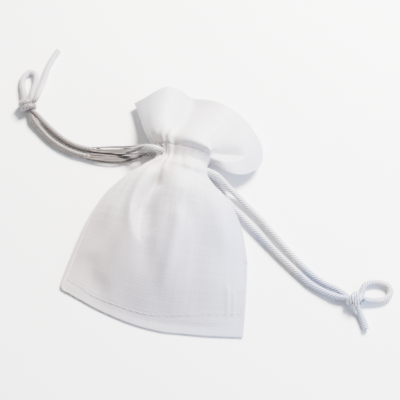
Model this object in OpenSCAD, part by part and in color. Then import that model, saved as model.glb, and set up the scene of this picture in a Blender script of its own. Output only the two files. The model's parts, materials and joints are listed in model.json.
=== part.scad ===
// Drawstring gift pouch of sheer cloth, closed, lying on its back.
// Millimetres. +Z up, +Y towards the ruffle, origin in the middle of the face it rests on.

/* [Bag] */
// Width of the pouch across its bottom corners
body_w = 70; // [60:1:84]
// Length from the bottom corners to the middle of the gathered neck
body_l = 57; // [48:1:70]
// How far the bottom edge bows out between its corners
bottom_bow = 6; // [2:0.5:8]
// Height that the air trapped inside adds to the belly
belly_rise = 7.5; // [4:0.5:10]
// Thickness of each panel of cloth
panel_t = 0.6; // [0.5:0.1:0.8]
// Distance below the neck over which the gathers spread out
gather_reach = 16; // [12:0.5:22]
// How much lower the left shoulder starts than the right one
shoulder_drop = 3; // [0:0.5:5]
// Depth of the flat bottom seam, where the cloth is folded back on itself
bottom_seam_d = 5.5; // [4:0.5:8]
// Width of each side seam
side_seam_w = 2; // [1.5:0.25:3]
// Thickness of the folded seams
seam_t = 1.4; // [1.2:0.1:2]
// Height of the right shoulder's seam at the neck, above the seam's run
shoulder_lift = 2.5; // [1:0.5:4]

/* [Neck] */
// Width of the gathered neck
neck_w = 18.5; // [16:0.5:22.5]
// Thickness of the gathered neck
neck_t = 12.4; // [12.4:0.2:16]
// How far the neck sits to the left of the pouch's middle
neck_shift = 5; // [0:0.5:8]
// Width of the small opening left in the gathers
mouth_w = 9; // [6:0.5:10]
// Height of that opening
mouth_h = 4.4; // [4.2:0.1:4.6]
// Cloth left round each channel for the cords
channel_wall = 0.4; // [0.4:0.1:0.8]

/* [Ruffle] */
// Length of the ruffle from the casing to its top edge
ruffle_l = 25; // [18:1:30]
// Angle that each side of the ruffle fans out by
ruffle_fan = 54; // [35:1:58]
// Angle that the whole ruffle leans to the left of the pouch's length
ruffle_lean = 14; // [0:1:20]
// Thickness of each leaf, which is the cloth folded double
leaf_t = 0.8; // [0.6:0.1:1.2]
// Height of the folds that radiate from the neck
fold_h = 1.6; // [0.8:0.1:2.2]
// Distance of each leaf from the middle of the neck, at its sides
leaf_apart = 0.6; // [0.5:0.1:1]
// Gap between the ruffle's leaves and the casing
leaf_gap = 1; // [0.9:0.1:1.4]

/* [Drawstrings] */
// Diameter of the satin cord
cord_d = 2.4; // [2:0.1:2.4]
// Clearance all round a cord inside its channel
cord_gap = 0.15; // [0.1:0.05:0.2]
// Length of cord that each casing holds, from the side of the neck
lead_in = 9; // [7:0.5:10]
// Length of straight cord outside the neck, before it may swing
lead_out = 1.75; // [1.5:0.25:2.5]
// Gap between two lengths of cord that move apart
cord_break = 0.5; // [0.5:0.1:0.8]
// Size of each knot across
knot_d = 7.6; // [7.2:0.1:8]
// Height of each knot
knot_h = 5; // [4.4:0.1:5.4]
// Share of its diameter that the cord keeps where a knot squeezes it
knot_squeeze = 0.72; // [0.6:0.02:0.76]

/* [Stitching] */
// Thickness of the sewing thread
thread_d = 0.4; // [0.3:0.05:0.4]
// Length of one stitch
stitch_l = 1.8; // [1.4:0.1:2.5]
// Distance from one stitch to the next
stitch_pitch = 2.6; // [2.4:0.1:4]

/* [Hidden] */

// Facets of round parts
round_fn = 48;
// Steps of the cloth across and along
across = 30;
along = 22;
knot_rings = 42;

// Bag, from the rest face's middle
foot = 30;
corner_y = -foot;
neck_y = body_l - foot;
neck_x = -neck_shift;
neck_z = neck_t / 2;

// Channels: one for each cord in each casing, side by side along Y
channel_d = cord_d + 2 * cord_gap;
casing_l = 2 * channel_d + 4 * channel_wall;
channel_y = channel_d / 2 + channel_wall;
channel_z = (neck_t / 2 + mouth_h / 2) / 2;
left_y = neck_y + channel_y;
right_y = neck_y - channel_y;
front_z = neck_z + channel_z;
back_z = neck_z - channel_z;
// Centres of the neck's round sides
side_x = neck_w / 2 - neck_t / 2;

// Outline of the panels
panel_top = neck_y - casing_l / 2;
panel_run = panel_top - corner_y;
ruffle_y = neck_y + casing_l / 2 + leaf_gap;

// Share of the full spread reached at distance d below the neck
function spread(d) = d <= 0 ? 0 : (1 - exp(-d / gather_reach)) / (1 - exp(-panel_run / gather_reach));
// Outer edges of the bag at share s of the way up from the bottom
function left_edge(s) =
    let (d = panel_run * (1 - s))
    neck_x - neck_w / 2
        - (body_w / 2 + neck_x - neck_w / 2)
            * spread(d - shoulder_drop * (1 - pow(1 - s, 4)));
function right_edge(s) =
    neck_x + neck_w / 2 + (body_w / 2 - neck_x - neck_w / 2) * spread(panel_run * (1 - s));
// Height of the side seams
function seam_z(s, side) =
    seam_t / 2 + (neck_z - seam_t / 2) * pow(s, 1.3)
        + (side > 0 ? shoulder_lift * pow(sin(180 * pow(s, 2.4)), 2) : 0);
// Height of the cloth above and below the seams, at s up the bag
function crown(s) = (seam_t / 2) * (1 - s) + (neck_t / 2) * s + belly_rise * pow(sin(180 * s), 0.8);
function belly(s) = (seam_t / 2) * (1 - s) + (neck_t / 2) * s + 2 * sin(180 * s);
// Bulge across the bag, 1 in the middle and 0 at the seams
function bulge(t, p) = pow(max(0, 1 - t * t), p);
// Bottom edge and a point on the bag's plan at s up and t across
function bow(t) = corner_y - bottom_bow * (1 - t * t);
function plan_y(s, t, start) = (bow(t) + start) * (1 - s) + panel_top * s;
function plan_x(s, t, inset) =
    let (l = left_edge(s) + inset)
    let (r = right_edge(s) - inset)
    (l + r) / 2 + t * (r - l) / 2;
function mid_z(s, t) = seam_z(s, -1) * (1 - t) / 2 + seam_z(s, 1) * (1 + t) / 2;

// A closed skin between an upper and a lower grid of points with the same plan
module skin(top, bottom) {
    rows = len(top);
    cols = len(top[0]);
    n = rows * cols;
    points = concat([for (r = top) each r], [for (r = bottom) each r]);
    function at(i, j, low) = (low ? n : 0) + i * cols + j;
    upper = [
        for (i = [0:rows - 2], j = [0:cols - 2])
            each [[at(i, j), at(i + 1, j), at(i + 1, j + 1)], [at(i, j), at(i + 1, j + 1), at(i, j + 1)]]
    ];
    lower = [
        for (i = [0:rows - 2], j = [0:cols - 2])
            each [
                [at(i, j, true), at(i + 1, j + 1, true), at(i + 1, j, true)],
                [at(i, j, true), at(i, j + 1, true), at(i + 1, j + 1, true)],
            ]
    ];
    rim = concat(
        [for (j = [0:cols - 1]) at(0, j)],
        [for (i = [1:rows - 1]) at(i, cols - 1)],
        [for (j = [cols - 2:-1:0]) at(rows - 1, j)],
        [for (i = [rows - 2:-1:1]) at(i, 0)]
    );
    m = len(rim);
    walls = [
        for (k = [0:m - 1])
            let (a = rim[k], b = rim[(k + 1) % m])
            each [[a, b, b + n], [a, b + n, a + n]]
    ];
    polyhedron(points, concat(upper, lower, walls));
}

// A tube of round section swept along a route
module cord(route, d = cord_d, sides = 8) {
    n = len(route);
    function unit(v) = v / norm(v);
    function dir(k) = unit(route[min(k + 1, n - 1)] - route[max(k - 1, 0)]);
    points = [
        for (k = [0:n - 1])
            let (along_k = dir(k))
            let (across_k = unit(cross([0, 0, 1], along_k)))
            let (up_k = cross(along_k, across_k))
            for (a = [0:sides - 1])
                route[k] + d / 2 * (cos(360 * a / sides) * across_k + sin(360 * a / sides) * up_k)
    ];
    walls = [
        for (k = [0:n - 2], a = [0:sides - 1])
            let (b = (a + 1) % sides)
            each [
                [k * sides + a, (k + 1) * sides + a, (k + 1) * sides + b],
                [k * sides + a, (k + 1) * sides + b, k * sides + b],
            ]
    ];
    ends = [[for (a = [0:sides - 1]) a], [for (a = [sides - 1:-1:0]) (n - 1) * sides + a]];
    polyhedron(points, concat(walls, ends));
}

// The same tube along a route that ends where it starts
module closed_cord(route, d, sides = 8) {
    n = len(route);
    function unit(v) = v / norm(v);
    points = [
        for (k = [0:n - 1])
            let (along_k = unit(route[(k + 1) % n] - route[(k + n - 1) % n]))
            let (across_k = unit(cross([0, 0, 1], along_k)))
            let (up_k = cross(along_k, across_k))
            for (a = [0:sides - 1])
                route[k] + d / 2 * (cos(360 * a / sides) * across_k + sin(360 * a / sides) * up_k)
    ];
    walls = [
        for (k = [0:n - 1], a = [0:sides - 1])
            let (b = (a + 1) % sides)
            let (next = (k + 1) % n)
            each [
                [k * sides + a, next * sides + a, next * sides + b],
                [k * sides + a, next * sides + b, k * sides + b],
            ]
    ];
    polyhedron(points, walls);
}

// ---- Bag ----

// Upper and lower heights of each panel, where the side wall of the seam is met at t = -1 and 1
function front_top(s, t) = mid_z(s, t) + panel_t + (crown(s) - panel_t) * bulge(t, 0.7);
function front_low(s, t) = mid_z(s, t) + (crown(s) - panel_t) * bulge(t, 0.7);
function back_low(s, t) = mid_z(s, t) - panel_t - (belly(s) - panel_t) * bulge(t, 0.9);
function back_top(s, t) = max(panel_t, mid_z(s, t) - (belly(s) - panel_t) * bulge(t, 0.9));

function panel_grid(height) = [
    for (i = [0:along])
        [
            for (j = [0:across])
                let (s = i / along)
                let (t = sin(90 * (2 * j / across - 1)))
                [plan_x(s, t, side_seam_w), plan_y(s, t, bottom_seam_d), height(s, t)]
        ]
];

module front_panel() {
    color("whitesmoke")
        skin(panel_grid(function (s, t) front_top(s, t)), panel_grid(function (s, t) front_low(s, t)));
}

// The back panel's underside is pressed flat where the pouch lies on it
module back_panel() {
    color("whitesmoke")
        difference() {
            skin(panel_grid(function (s, t) back_top(s, t)), panel_grid(function (s, t) back_low(s, t)));
            translate([-body_w, corner_y - body_w, -neck_t]) cube([2 * body_w, 3 * body_w, neck_t]);
        }
}

// Four layers of cloth lie flat along the bottom
module bottom_seam() {
    edge = [for (j = [0:across]) sin(90 * (2 * j / across - 1))];
    color("gainsboro")
        linear_extrude(seam_t)
            polygon(concat(
                [for (t = edge) [plan_x(0, t, 0), bow(t)]],
                [for (k = [across:-1:0]) [plan_x(0, edge[k], 0), bow(edge[k]) + bottom_seam_d]]
            ));
}

// One side seam: a strip along the bag's edge from the bottom seam to the neck
module side_seam(side) {
    function edge(s, inset) = side < 0 ? left_edge(s) + inset : right_edge(s) - inset;
    grid = function (level) [
        for (i = [0:along])
            let (s = i / along)
            let (y = plan_y(s, 1, bottom_seam_d))
            let (z = seam_z(s, side) + level * seam_t / 2)
            side < 0
                ? [[edge(s, 0), y, z], [edge(s, side_seam_w), y, z]]
                : [[edge(s, side_seam_w), y, z], [edge(s, 0), y, z]]
    ];
    color("gainsboro") skin(grid(1), grid(-1));
}

module left_side_seam() {
    side_seam(-1);
}

module right_side_seam() {
    side_seam(1);
}

// ---- Neck ----

// Section of the gathered neck in X and Z, round at both sides
module neck_section() {
    for (side = [-1, 1]) translate([side * side_x, 0]) circle(d = neck_t, $fn = round_fn);
    square([2 * side_x, neck_t], center = true);
}

// A straight run over the neck and a turn round its right side, for a cord or for its channel
module hairpin(d, start) {
    for (half = [-1, 1])
        translate([start, 0, half * channel_z])
            rotate([0, 90, 0]) cylinder(d = d, h = side_x - start, $fn = round_fn);
    translate([side_x, 0, 0])
        rotate([90, 0, 0])
            rotate([0, 0, -90])
                rotate_extrude(angle = 180, $fn = round_fn) translate([channel_z, 0]) circle(d = d, $fn = round_fn);
}

// Puts a piece that is drawn for the right side of the neck on either side
module on_side(side, y) {
    translate([neck_x, y, neck_z]) mirror([side < 0 ? 1 : 0, 0, 0]) children();
}

// Half of the casing: the upper half belongs to the front panel, the lower one to the back
module casing(half) {
    difference() {
        translate([neck_x, neck_y + casing_l / 2, neck_z])
            rotate([90, 0, 0])
                linear_extrude(casing_l)
                    difference() {
                        intersection() {
                            neck_section();
                            translate([-neck_w, half > 0 ? 0 : -neck_t]) square([2 * neck_w, neck_t]);
                        }
                        square([mouth_w, mouth_h], center = true);
                    }
        on_side(1, left_y) hairpin(channel_d, -neck_w);
        on_side(-1, right_y) hairpin(channel_d, -neck_w);
    }
}

module front_casing() {
    color("whitesmoke") casing(1);
}

module back_casing() {
    color("whitesmoke") casing(-1);
}

// ---- Ruffle ----

// A point on a leaf at share v of its length and u across, before its height
function leaf_angle(u) = 90 - ruffle_lean - ruffle_fan * u;
function leaf_len(u) = ruffle_l - 2.5 * u * u;
function leaf_curl(u) = u > 0 ? 9 * pow(u, 3) : -1.7 * pow(-u, 3);
function leaf_plan(u, v) =
    let (a = leaf_angle(u))
    let (root = [neck_x + u * (neck_w / 2 - 0.5), ruffle_y])
    let (out = leaf_len(u) * v * [cos(a), sin(a)])
    let (side = leaf_curl(u) * sin(180 * v) * [sin(a), -cos(a)])
    root + out + side;
// Height of the leaf's folds, which start at the neck and fade at its rim
function leaf_fold(u, v) = fold_h * sin(180 * v) * (0.6 + 0.4 * v) * cos(360 * 1.5 * u);
// Height at u of the arch in which each leaf leaves the round neck
function neck_arch(u) = 0.75 * (neck_t / 2) * sqrt(max(0, 1 - u * u));

function front_leaf_z(u, v) =
    neck_z + leaf_apart + neck_arch(u) * (1 - 0.6 * v) + 1.6 * v + leaf_fold(u, v);
function back_leaf_z(u, v) =
    max(0.2, neck_z - leaf_apart - leaf_t - neck_arch(u) * (1 - 0.3 * v) - 2.2 * v + leaf_fold(u, v) * v);

function leaf_grid(height, lift) = [
    for (i = [0:16])
        [
            for (j = [0:26])
                let (u = sin(90 * (2 * j / 26 - 1)))
                let (v = i / 16)
                let (p = leaf_plan(u, v))
                [p[0], p[1], height(u, v) + lift]
        ]
];

module front_ruffle() {
    height = function (u, v) front_leaf_z(u, v);
    color("white") skin(leaf_grid(height, leaf_t), leaf_grid(height, 0));
}

module back_ruffle() {
    height = function (u, v) back_leaf_z(u, v);
    color("white") skin(leaf_grid(height, leaf_t), leaf_grid(height, 0));
}

// ---- Stitching ----

// One stitch along X, sunk half its thickness into the cloth
module stitch() {
    rotate([0, 90, 0]) cylinder(d = thread_d, h = stitch_l, center = true, $fn = 16);
}

// Rows down both side seams and along the bottom one
module seam_stitching() {
    bottom_count = floor((body_w - 2 * side_seam_w) / stitch_pitch);
    side_count = floor(panel_run * 0.8 / stitch_pitch);
    color("white") {
        for (k = [0:bottom_count])
            let (t = (2 * k / bottom_count - 1) * 0.94)
            let (slope = atan(2 * bottom_bow * t / (body_w / 2)))
            translate([plan_x(0, t, 0), bow(t) + bottom_seam_d - side_seam_w / 2, seam_t])
                rotate(slope) stitch();
        for (side = [-1, 1], k = [1:side_count])
            let (s = 0.8 * k / (side_count + 1))
            let (e = 0.02)
            let (x0 = side < 0 ? left_edge(s - e) : right_edge(s - e))
            let (x1 = side < 0 ? left_edge(s + e) : right_edge(s + e))
            let (dy = plan_y(s + e, 1, bottom_seam_d) - plan_y(s - e, 1, bottom_seam_d))
            let (dz = seam_z(s + e, side) - seam_z(s - e, side))
            let (slant = atan2(dz, norm([x1 - x0, dy])))
            translate([
                (x0 + x1) / 2 - side * side_seam_w / 2,
                plan_y(s, 1, bottom_seam_d),
                seam_z(s, side) + seam_t / 2,
            ])
                rotate([0, 0, atan2(dy, x1 - x0)]) rotate([0, -slant, 0]) stitch();
    }
}

// A row of stitches right round the neck at the distance y along the pouch
module casing_row(y) {
    flat_count = 3;
    round_count = floor(180 * PI * neck_t / 360 / stitch_pitch);
    for (half = [-1, 1])
        for (k = [0:flat_count - 1])
            translate([
                neck_x + (flat_count == 1 ? 0 : (2 * k / (flat_count - 1) - 1) * (side_x - stitch_l / 2)),
                y,
                neck_z + half * neck_t / 2,
            ])
                stitch();
    for (side = [-1, 1])
        for (k = [0.5:1:round_count - 0.5])
            let (a = 180 * k / round_count - 90)
            translate([neck_x + side * (side_x + neck_t / 2 * cos(a)), y, neck_z + neck_t / 2 * sin(a)])
                rotate([0, side * (90 - a), 0]) stitch();
}

module lower_casing_stitching() {
    color("white") casing_row(neck_y - casing_l / 2 + channel_wall / 2);
}

module upper_casing_stitching() {
    color("white") casing_row(neck_y + casing_l / 2 - channel_wall / 2);
}

// ---- Drawstrings ----

// side is -1 for the drawstring that comes out on the left, 1 on the right
function lead_end(side) = neck_x + side * (neck_w / 2 + lead_out);
function cord_y(side) = side < 0 ? left_y : right_y;

// The stretch that stays in the casings and turns round the far side of the neck
module cord_in_casing(side) {
    color("white")
        on_side(-side, cord_y(side)) hairpin(cord_d, lead_in + cord_break - neck_w / 2);
}

// The two straight ends that slide out of the neck
module cord_leads(side) {
    color("white")
        for (z = [front_z, back_z])
            translate([lead_end(side), cord_y(side), z])
                rotate([0, -side * 90, 0]) cylinder(d = cord_d, h = lead_in + lead_out, $fn = round_fn);
}

module left_cord_in_casing() {
    cord_in_casing(-1);
}

module right_cord_in_casing() {
    cord_in_casing(1);
}

module left_cord_leads() {
    cord_leads(-1);
}

module right_cord_leads() {
    cord_leads(1);
}

// Each strand starts past the break that lets it swing, and runs straight out for a moment
function strand_start(side, z) = [
    for (out = [cord_break, cord_break + cord_d / 2])
        [lead_end(side) + side * out, cord_y(side), z]
];

// The rest of each route, from the neck to the knot
left_front_route = [
    [-20, 28.5, 9], [-23, 27.9, 6.1], [-27, 27.2, 3.1], [-31.5, 26.4, 1.7], [-36, 25.4, 1.3],
    [-41, 24.6, 1.3], [-46, 24.6, 1.3], [-51, 25.7, 1.3], [-56, 27.8, 1.4], [-60.5, 30.2, 1.8],
    [-64.5, 32.6, 2.5], [-67.5, 34.4, 3.2],
];
left_back_route = [
    [-20.5, 27.9, 1.5], [-24.5, 25.8, 1.3], [-29, 23.7, 1.3], [-35, 22.4, 1.3], [-41, 21.6, 1.3],
    [-46.5, 21.7, 1.3], [-52, 22.8, 1.3], [-57, 24.8, 1.3], [-61.5, 27.6, 1.5], [-65.5, 30.8, 2],
    [-68, 33.4, 2.9],
];
right_front_route = [
    [10, 24.9, 9.2], [13, 24, 6.4], [16, 22.8, 3.9], [20, 20.9, 2], [24.5, 18.3, 1.3],
    [29.5, 15.3, 1.3], [35, 11.5, 1.3], [41, 7.2, 1.3], [47, 3.2, 1.3], [53, -0.4, 1.3],
    [59, -2.8, 1.5], [64.5, -4.1, 2.1], [69, -5.2, 3],
];
right_back_route = [
    [10, 23.9, 1.5], [13.5, 20.9, 1.3], [18, 17.2, 1.3], [24, 13.4, 1.3], [30, 9.6, 1.3],
    [36, 5.9, 1.3], [42, 2.3, 1.3], [48, -1.1, 1.3], [54, -4.2, 1.3], [60, -5.9, 1.5],
    [65, -6.5, 2.1], [69, -6.4, 3],
];
left_knot_at = [-69, 35.2, 2.7];
right_knot_at = [71.2, -6, 2.7];
left_loop_route = [
    [-71.2, 37.7, 2.6], [-72.6, 40.6, 1.6], [-74.1, 43.6, 1.3], [-74.6, 46.8, 1.3], [-73.2, 49.4, 1.3],
    [-70.9, 49.4, 1.3], [-69.5, 46.8, 1.3], [-69.2, 43.4, 1.3], [-69.2, 40.6, 1.6], [-68.5, 37.7, 2.6],
];
left_tail_route = [
    [-66.6, 37.6, 4.2], [-66.5, 40.6, 3.2], [-66.6, 44, 2], [-66.6, 47.6, 1.3], [-66.7, 51.2, 1.3],
    [-66.5, 54.8, 1.3], [-65.9, 58.4, 1.3], [-65, 61.6, 1.3],
];
right_loop_route = [
    [72, -3.2, 2.6], [73.2, -0.4, 1.6], [75.2, 1.8, 1.3], [78.2, 2.9, 1.3], [81.4, 2.8, 1.3],
    [83.2, 0.8, 1.3], [82.6, -1.9, 1.3], [80, -3.7, 1.3], [76.8, -4.6, 1.6], [74, -5, 2.6],
];
right_tail_route = [
    [72.6, -8.4, 2.6], [74, -10, 1.6], [75.4, -11.8, 1.3], [76.6, -13.6, 1.3], [77.6, -15.4, 1.3],
];

module left_front_strand() {
    color("white") cord(concat(strand_start(-1, front_z), left_front_route));
}

module left_back_strand() {
    color("white") cord(concat(strand_start(-1, back_z), left_back_route));
}

module right_front_strand() {
    color("white") cord(concat(strand_start(1, front_z), right_front_route));
}

module right_back_strand() {
    color("white") cord(concat(strand_start(1, back_z), right_back_route));
}

// An overhand knot pulled up tight: one closed turn of squeezed cord that passes over and under itself
module knot(turn) {
    d = cord_d * knot_squeeze;
    r = (knot_d - d) / 6;
    lift = (knot_h - d) / 2;
    route = [
        for (k = [0:knot_rings - 1])
            let (a = 360 * k / knot_rings)
            [r * (sin(a) + 2 * sin(2 * a)), r * (cos(a) - 2 * cos(2 * a)), -lift * sin(3 * a)]
    ];
    rotate(turn) closed_cord(route, d);
}

module left_knot() {
    color("gainsboro") translate(left_knot_at) knot(50);
}

module right_knot() {
    color("gainsboro") translate(right_knot_at) knot(100);
}

module left_knot_loop() {
    color("white") cord(left_loop_route);
}

module right_knot_loop() {
    color("white") cord(right_loop_route);
}

module left_cord_tail() {
    color("white") cord(left_tail_route);
}

module right_cord_tail() {
    color("white") cord(right_tail_route);
}

front_panel();
back_panel();
bottom_seam();
left_side_seam();
right_side_seam();
front_casing();
back_casing();
front_ruffle();
back_ruffle();
seam_stitching();
lower_casing_stitching();
upper_casing_stitching();
left_cord_in_casing();
right_cord_in_casing();
left_cord_leads();
left_front_strand();
left_back_strand();
left_knot();
left_knot_loop();
left_cord_tail();
right_cord_leads();
right_front_strand();
right_back_strand();
right_knot();
right_knot_loop();
right_cord_tail();
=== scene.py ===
import json
import math
import random

import bpy
import numpy as np
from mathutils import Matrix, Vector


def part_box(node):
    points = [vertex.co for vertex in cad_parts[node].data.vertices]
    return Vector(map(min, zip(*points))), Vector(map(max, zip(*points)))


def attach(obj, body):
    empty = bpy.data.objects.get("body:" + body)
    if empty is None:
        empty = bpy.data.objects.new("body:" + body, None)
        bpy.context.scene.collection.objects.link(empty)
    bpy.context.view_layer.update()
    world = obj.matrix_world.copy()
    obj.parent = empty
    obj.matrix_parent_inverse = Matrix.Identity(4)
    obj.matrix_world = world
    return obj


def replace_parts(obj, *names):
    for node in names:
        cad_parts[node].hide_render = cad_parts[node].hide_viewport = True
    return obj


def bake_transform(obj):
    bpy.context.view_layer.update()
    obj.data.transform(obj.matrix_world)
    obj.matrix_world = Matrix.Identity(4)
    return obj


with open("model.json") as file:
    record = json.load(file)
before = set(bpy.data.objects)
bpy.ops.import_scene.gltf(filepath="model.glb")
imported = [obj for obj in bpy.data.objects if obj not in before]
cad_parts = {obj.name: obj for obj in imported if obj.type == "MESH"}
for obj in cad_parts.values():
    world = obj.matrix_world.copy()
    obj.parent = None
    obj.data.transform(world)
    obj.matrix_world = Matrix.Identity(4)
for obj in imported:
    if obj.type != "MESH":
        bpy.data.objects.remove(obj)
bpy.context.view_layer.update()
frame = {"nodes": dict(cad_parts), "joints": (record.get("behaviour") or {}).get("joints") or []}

MM = 0.001


# ---- The table it lies on, the light and the camera ----
# A plain pale table of matt paper under a large soft light: broad light from above and behind
# on the right, a cool fill from the far right, and a view from nearly overhead.
def linear(hex_colour):
    """An sRGB hex colour as Blender's linear red, green, blue and alpha."""
    parts = [int(hex_colour[i:i + 2], 16) / 255 for i in (1, 3, 5)]
    return tuple(p / 12.92 if p <= 0.04045 else ((p + 0.055) / 1.055) ** 2.4 for p in parts) + (1.0,)


def add(tree, kind, inputs=None, **settings):
    """Adds one node with its settings; an input is a value, or the socket that feeds it."""
    node = tree.nodes.new(kind)
    for key, value in settings.items():
        setattr(node, key, value)
    for key, value in (inputs or {}).items():
        if isinstance(value, bpy.types.NodeSocket):
            tree.links.new(value, node.inputs[key])
        else:
            node.inputs[key].default_value = value
    return node


def mix_colours(tree, share, low, high):
    """A mix of two colours, by a share from 0 for the first to 1 for the second."""
    node = tree.nodes.new("ShaderNodeMix")
    node.data_type = "RGBA"
    for socket, value in ((node.inputs[0], share), (node.inputs[6], low), (node.inputs[7], high)):
        if isinstance(value, bpy.types.NodeSocket):
            tree.links.new(value, socket)
        else:
            socket.default_value = value
    return node.outputs[2]


def new_material(name):
    """An empty material with its output, ready for nodes."""
    material = bpy.data.materials.new(name)
    material.use_nodes = True
    material.node_tree.nodes.clear()
    output = add(material.node_tree, "ShaderNodeOutputMaterial")
    return material, material.node_tree, output


bpy.ops.object.select_all(action="DESELECT")
bpy.ops.mesh.primitive_plane_add(size=3.0, location=(0, 0, -0.0001))
table = bpy.context.object
table.name = "table"
table_paper, tree, output = new_material("matt_white_paper")
coords = add(tree, "ShaderNodeTexCoord")
grain = add(tree, "ShaderNodeTexNoise", {"Vector": coords.outputs["Object"], "Scale": 900.0, "Detail": 3.0})
tooth = add(tree, "ShaderNodeBump", {"Height": grain.outputs["Fac"], "Strength": 0.04, "Distance": 0.0002})
paper = add(tree, "ShaderNodeBsdfPrincipled", {
    "Base Color": linear("#FBFBFB"), "Roughness": 0.85, "Normal": tooth.outputs["Normal"]})
tree.links.new(paper.outputs["BSDF"], output.inputs["Surface"])
table.data.materials.append(table_paper)

world = bpy.data.worlds.new("studio")
bpy.context.scene.world = world
world.use_nodes = True
world.node_tree.nodes["Background"].inputs["Color"].default_value = linear("#F3F4F8")
world.node_tree.nodes["Background"].inputs["Strength"].default_value = 0.50

for name, place, size, power, colour in (
    ("overhead_softbox", (0.14, 0.37, 0.42), 0.18, 27.0, "#FFF9F2"),
    ("cool_fill", (0.52, 0.02, 0.22), 0.30, 6.0, "#C4D6FF"),
):
    lamp = bpy.data.lights.new(name, "AREA")
    lamp.size = size
    lamp.energy = power
    lamp.color = linear(colour)[:3]
    light = bpy.data.objects.new(name, lamp)
    bpy.context.collection.objects.link(light)
    light.location = place
    aim = np.array((0.0, 0.01, 0.0)) - np.array(place)
    light.rotation_euler = (
        math.atan2(math.hypot(aim[0], aim[1]), -aim[2]), 0, math.atan2(aim[1], aim[0]) - math.pi / 2)

CAMERA_TURN = math.radians(15.46)
CAMERA_RISE = math.radians(72.0)
CAMERA_REACH = 0.400
camera_target = np.array((0.00599, 0.01608, 0.002))
camera = bpy.data.objects.new("camera", bpy.data.cameras.new("camera"))
bpy.context.collection.objects.link(camera)
camera.data.lens = 95.0
camera.location = camera_target + CAMERA_REACH * np.array((
    math.sin(CAMERA_TURN) * math.cos(CAMERA_RISE),
    -math.cos(CAMERA_TURN) * math.cos(CAMERA_RISE),
    math.sin(CAMERA_RISE)))
camera.rotation_euler = (math.pi / 2 - CAMERA_RISE, 0, CAMERA_TURN)
bpy.context.scene.camera = camera


# ---- The drawstrings ----
# Each drawstring is one length of soft satin cord, five fine strands laid together. Both of its
# ends leave the same side of the neck, run side by side and are tied in one overhand knot.
CORD = 2.4 * MM
CORD_PITCH = 5.3 * MM     # one full turn of the strands round the cord
CORD_STRANDS = 5
RING_STEP = 0.14 * MM
RING_SIDES = 24
LOOSE_SIDES = 8
LEAD_IN = 9.0 * MM        # how much of each strand runs inside the neck
KNOT_TURNS = 1.9
KNOT_LENGTH = 4.0 * MM
KNOT_RADIUS = 2.0 * MM
KNOT_START = -0.4 * math.pi
KNOT_GRIP = 6 * MM        # how far from the knot's middle it squeezes the cord

satin, tree, output = new_material("satin_rayon_cord")
# Rayon filaments lie along the strands and give a soft, silky shine with a fine streak
cord_uv = add(tree, "ShaderNodeUVMap", uv_map="along_cord")
stretch = add(tree, "ShaderNodeMapping", {"Vector": cord_uv.outputs["UV"], "Scale": (1.0, 9.0, 1.0)})
fibre = add(tree, "ShaderNodeTexNoise", {"Vector": stretch.outputs["Vector"], "Scale": 3.0, "Detail": 4.0})
place = add(tree, "ShaderNodeTexCoord")
across = add(tree, "ShaderNodeSeparateXYZ", {"Vector": place.outputs["Object"]})
# The two strands on the left get painted shade, a dark grey-brown tone where they lie in shadow; the rest of
# the cord is white and brightly lit
from_left = add(tree, "ShaderNodeMapRange", {
    "Value": across.outputs["X"], "From Min": -0.0790, "From Max": -0.0660})
from_right = add(tree, "ShaderNodeMapRange", {
    "Value": across.outputs["X"], "From Min": -0.0120, "From Max": -0.0280})
from_below = add(tree, "ShaderNodeMapRange", {
    "Value": across.outputs["Y"], "From Min": 0.0425, "From Max": 0.0370})
in_middle = add(tree, "ShaderNodeMath", {
    0: from_left.outputs["Result"], 1: from_right.outputs["Result"]}, operation="MULTIPLY")
painted_shade = add(tree, "ShaderNodeMath", {
    0: in_middle.outputs["Value"], 1: from_below.outputs["Result"]}, operation="MULTIPLY")
# A faint painted blue reflection comes and goes along the right-hand strands
cast = add(tree, "ShaderNodeTexNoise", {"Vector": place.outputs["Object"], "Scale": 55.0, "Detail": 1.0})
patchy = add(tree, "ShaderNodeMapRange", {"Value": cast.outputs["Fac"], "From Min": 0.44, "From Max": 0.53})
on_right = add(tree, "ShaderNodeMapRange", {
    "Value": across.outputs["X"], "From Min": 0.0180, "From Max": 0.0300, "To Max": 0.9})
blue_reflection = add(tree, "ShaderNodeMath", {
    0: patchy.outputs["Result"], 1: on_right.outputs["Result"]}, operation="MULTIPLY")
lit_tone = mix_colours(tree, blue_reflection.outputs["Value"], linear("#EFECEF"), linear("#96B6F0"))
# The dark colours mixed in on the left strands below are painted shade
tone = mix_colours(tree, painted_shade.outputs["Value"], lit_tone, linear("#736B69"))
groove_shade = mix_colours(tree, painted_shade.outputs["Value"], linear("#55515A"), linear("#3A3432"))
grey = mix_colours(tree, painted_shade.outputs["Value"], linear("#B0ACB1"), linear("#57504E"))
streak = mix_colours(tree, fibre.outputs["Fac"], grey, tone)
# The grooves between the strands take the darker colours above: painted shade
strand_uv = add(tree, "ShaderNodeSeparateXYZ", {"Vector": cord_uv.outputs["UV"]})
winding = add(tree, "ShaderNodeMath", {
    0: strand_uv.outputs["Y"], 1: 2 * math.pi * CORD_STRANDS}, operation="MULTIPLY")
wave = add(tree, "ShaderNodeMath", {0: winding.outputs["Value"]}, operation="COSINE")
groove = add(tree, "ShaderNodeMapRange", {
    "Value": wave.outputs["Value"], "From Min": -0.95, "From Max": 0.35})
laid = mix_colours(tree, groove.outputs["Result"], groove_shade, streak)
ridge = add(tree, "ShaderNodeBump", {"Height": fibre.outputs["Fac"], "Strength": 0.35, "Distance": 0.00012})
shine = add(tree, "ShaderNodeBsdfPrincipled", {
    "Base Color": laid, "Roughness": 0.30, "Sheen Weight": 0.2, "Normal": ridge.outputs["Normal"]})
tree.links.new(shine.outputs["BSDF"], output.inputs["Surface"])


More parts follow.
